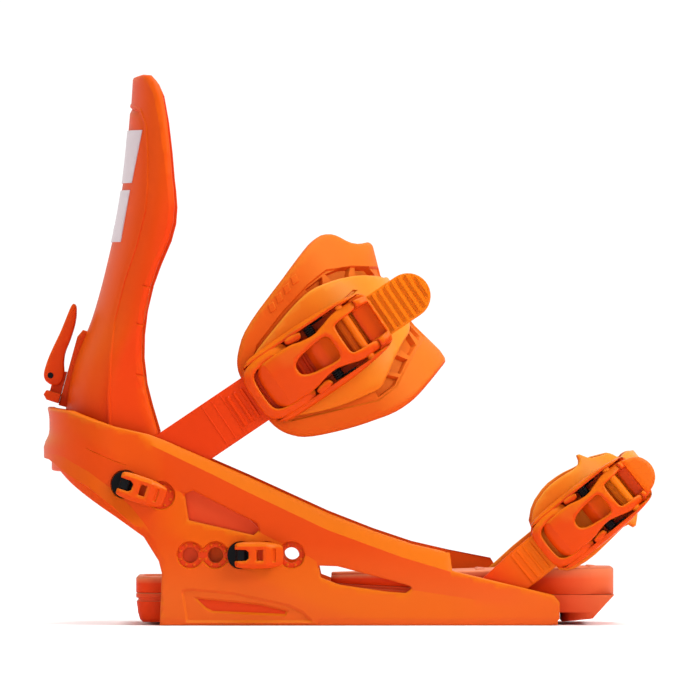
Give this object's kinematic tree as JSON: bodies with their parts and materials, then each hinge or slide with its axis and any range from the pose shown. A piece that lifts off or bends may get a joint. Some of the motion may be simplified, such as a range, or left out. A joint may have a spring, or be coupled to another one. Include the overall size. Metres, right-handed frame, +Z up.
{
  "type": "snowboard binding",
  "caption": "Two-strap snowboard binding with curved highback, ratchet buckles, hand-turned adjusters, sliding footbed and slotted mounting disc.",
  "frame": {"origin": "centre of the mounting disc at the underside of the baseplate", "axes": "+X towards the toe, +Y towards the medial side, +Z up from the board"},
  "size_m": [0.3036, 0.1224, 0.2705],
  "materials": {
    "chassis": "fine-textured glass-filled nylon",
    "highback": "satin moulded nylon",
    "strap_shell": "satin flexible plastic",
    "padding": "soft matte foam",
    "ladder": "satin flexible plastic",
    "buckle": "satin moulded nylon",
    "footbed": "soft matte foam",
    "hardware": "satin black",
    "disc": "fine-textured glass-filled nylon"
  },
  "bodies": {
    "chassis": {"base_chassis": "chassis", "toe_strap_pins": "hardware", "heel_bumper": "footbed", "heel_pad": "footbed", "ankle_nuts": "hardware", "footbed_nuts": "chassis"},
    "footbed": {"toe_ramp": "footbed", "toe_pad": "footbed"},
    "disc": {"mounting_disc": "disc"},
    "highback": {"highback_shell": "highback", "highback_liner": "padding", "lean_rail": "highback"},
    "lean_slider": {"lean_block": "highback", "lean_pin": "hardware"},
    "lean_lock": {"lean_lever": "highback"},
    "ankle_strap": {"ankle_ladder": "ladder", "ankle_connector": "strap_shell", "ankle_strap_screws": "hardware", "ankle_pad": "padding", "ankle_shell": "strap_shell", "ankle_buckle_base": "buckle", "ankle_buckle_rivets": "hardware", "ankle_lever_axle": "ladder", "ankle_pawl_pin": "hardware", "ankle_pawl_springs": "hardware"},
    "ankle_ratchet_lever": {"ankle_lever": "buckle"},
    "ankle_ratchet_pawl": {"ankle_pawl": "buckle"},
    "toe_strap": {"toe_ladder": "ladder", "toe_connector": "strap_shell", "toe_strap_screws": "hardware", "toe_liner": "padding", "toe_shell": "strap_shell", "toe_buckle_base": "buckle", "toe_buckle_rivets": "hardware", "toe_lever_axle": "ladder", "toe_pawl_pin": "hardware", "toe_pawl_springs": "hardware"},
    "toe_ratchet_lever": {"toe_lever": "buckle"},
    "toe_ratchet_pawl": {"toe_pawl": "buckle"},
    "ankle_screw_lateral": {"ankle_adjuster_lateral_screw": "hardware", "ankle_adjuster_lateral_pin": "hardware"},
    "ankle_handle_lateral": {"ankle_adjuster_lateral_handle": "buckle"},
    "ankle_screw_medial": {"ankle_adjuster_medial_screw": "hardware", "ankle_adjuster_medial_pin": "hardware"},
    "ankle_handle_medial": {"ankle_adjuster_medial_handle": "buckle"},
    "footbed_screw_lateral": {"footbed_adjuster_lateral_screw": "hardware", "footbed_adjuster_lateral_pin": "hardware"},
    "footbed_handle_lateral": {"footbed_adjuster_lateral_handle": "buckle"},
    "footbed_screw_medial": {"footbed_adjuster_medial_screw": "hardware", "footbed_adjuster_medial_pin": "hardware"},
    "footbed_handle_medial": {"footbed_adjuster_medial_handle": "buckle"}
  },
  "joints": [
    {"name": "highback_fold", "type": "hinge", "parent": "chassis", "child": "highback", "pos_m": [-0.119, 0, 0.069], "axis": [0, 1, 0], "range_deg": [0, 25]},
    {"name": "lean_height", "type": "slide", "parent": "highback", "child": "lean_slider", "axis": [0.2656, 0, 0.9641], "range_m": [0, 0.018]},
    {"name": "lean_lever_flip", "type": "hinge", "parent": "lean_slider", "child": "lean_lock", "pos_m": [-0.15651, 0, 0.12225], "axis": [0, -1, 0], "range_deg": [0, 100]},
    {"name": "ankle_strap_swing", "type": "hinge", "parent": "chassis", "child": "ankle_strap", "pos_m": [-0.119, 0, 0.069], "axis": [0, 1, 0], "range_deg": [-6, 10]},
    {"name": "toe_strap_swing", "type": "hinge", "parent": "chassis", "child": "toe_strap", "pos_m": [0.0615, 0, 0.0162], "axis": [0, -1, 0], "range_deg": [0, 20]},
    {"name": "ankle_lever_lift", "type": "hinge", "parent": "ankle_strap", "child": "ankle_ratchet_lever", "pos_m": [-0.00636, -0.0542, 0.14377], "axis": [-0.5592, 0, 0.829], "range_deg": [0, 75]},
    {"name": "ankle_pawl_release", "type": "hinge", "parent": "ankle_strap", "child": "ankle_ratchet_pawl", "pos_m": [-0.02153, -0.0524, 0.13354], "axis": [-0.5592, 0, 0.829], "range_deg": [0, 12], "stiffness_Nm_per_rad": 0.02, "springref_deg": -11.46},
    {"name": "toe_lever_lift", "type": "hinge", "parent": "toe_strap", "child": "toe_ratchet_lever", "pos_m": [0.1241, -0.0542, 0.06689], "axis": [-0.6293, 0, 0.7771], "range_deg": [0, 75]},
    {"name": "toe_pawl_release", "type": "hinge", "parent": "toe_strap", "child": "toe_ratchet_pawl", "pos_m": [0.11229, -0.0524, 0.05733], "axis": [-0.6293, 0, 0.7771], "range_deg": [0, 12], "stiffness_Nm_per_rad": 0.02, "springref_deg": -11.46},
    {"name": "ankle_screw_turn_lateral", "type": "hinge", "parent": "chassis", "child": "ankle_screw_lateral", "pos_m": [-0.119, -0.053, 0.069], "axis": [0, -1, 0], "continuous": true},
    {"name": "ankle_handle_flip_lateral", "type": "hinge", "parent": "ankle_screw_lateral", "child": "ankle_handle_lateral", "pos_m": [-0.119, -0.0586, 0.069], "axis": [-0.3256, 0, -0.9455], "range_deg": [0, 90]},
    {"name": "ankle_screw_turn_medial", "type": "hinge", "parent": "chassis", "child": "ankle_screw_medial", "pos_m": [-0.119, 0.053, 0.069], "axis": [0, 1, 0], "continuous": true},
    {"name": "ankle_handle_flip_medial", "type": "hinge", "parent": "ankle_screw_medial", "child": "ankle_handle_medial", "pos_m": [-0.119, 0.0586, 0.069], "axis": [0.3256, 0, 0.9455], "range_deg": [0, 90]},
    {"name": "footbed_screw_turn_lateral", "type": "hinge", "parent": "chassis", "child": "footbed_screw_lateral", "pos_m": [-0.0622, -0.053, 0.0343], "axis": [0, -1, 0], "continuous": true},
    {"name": "footbed_handle_flip_lateral", "type": "hinge", "parent": "footbed_screw_lateral", "child": "footbed_handle_lateral", "pos_m": [-0.0622, -0.0586, 0.0343], "axis": [0, 0, -1], "range_deg": [0, 90]},
    {"name": "footbed_screw_turn_medial", "type": "hinge", "parent": "chassis", "child": "footbed_screw_medial", "pos_m": [-0.0622, 0.053, 0.0343], "axis": [0, 1, 0], "continuous": true},
    {"name": "footbed_handle_flip_medial", "type": "hinge", "parent": "footbed_screw_medial", "child": "footbed_handle_medial", "pos_m": [-0.0622, 0.0586, 0.0343], "axis": [0, 0, 1], "range_deg": [0, 90]},
    {"name": "footbed_slide", "type": "slide", "parent": "chassis", "child": "footbed", "axis": [1, 0, 0], "range_m": [0, 0.012]},
    {"name": "disc_turn", "type": "hinge", "parent": "chassis", "child": "disc", "pos_m": [0, 0, 0], "axis": [0, 0, 1], "continuous": true}
  ]
}
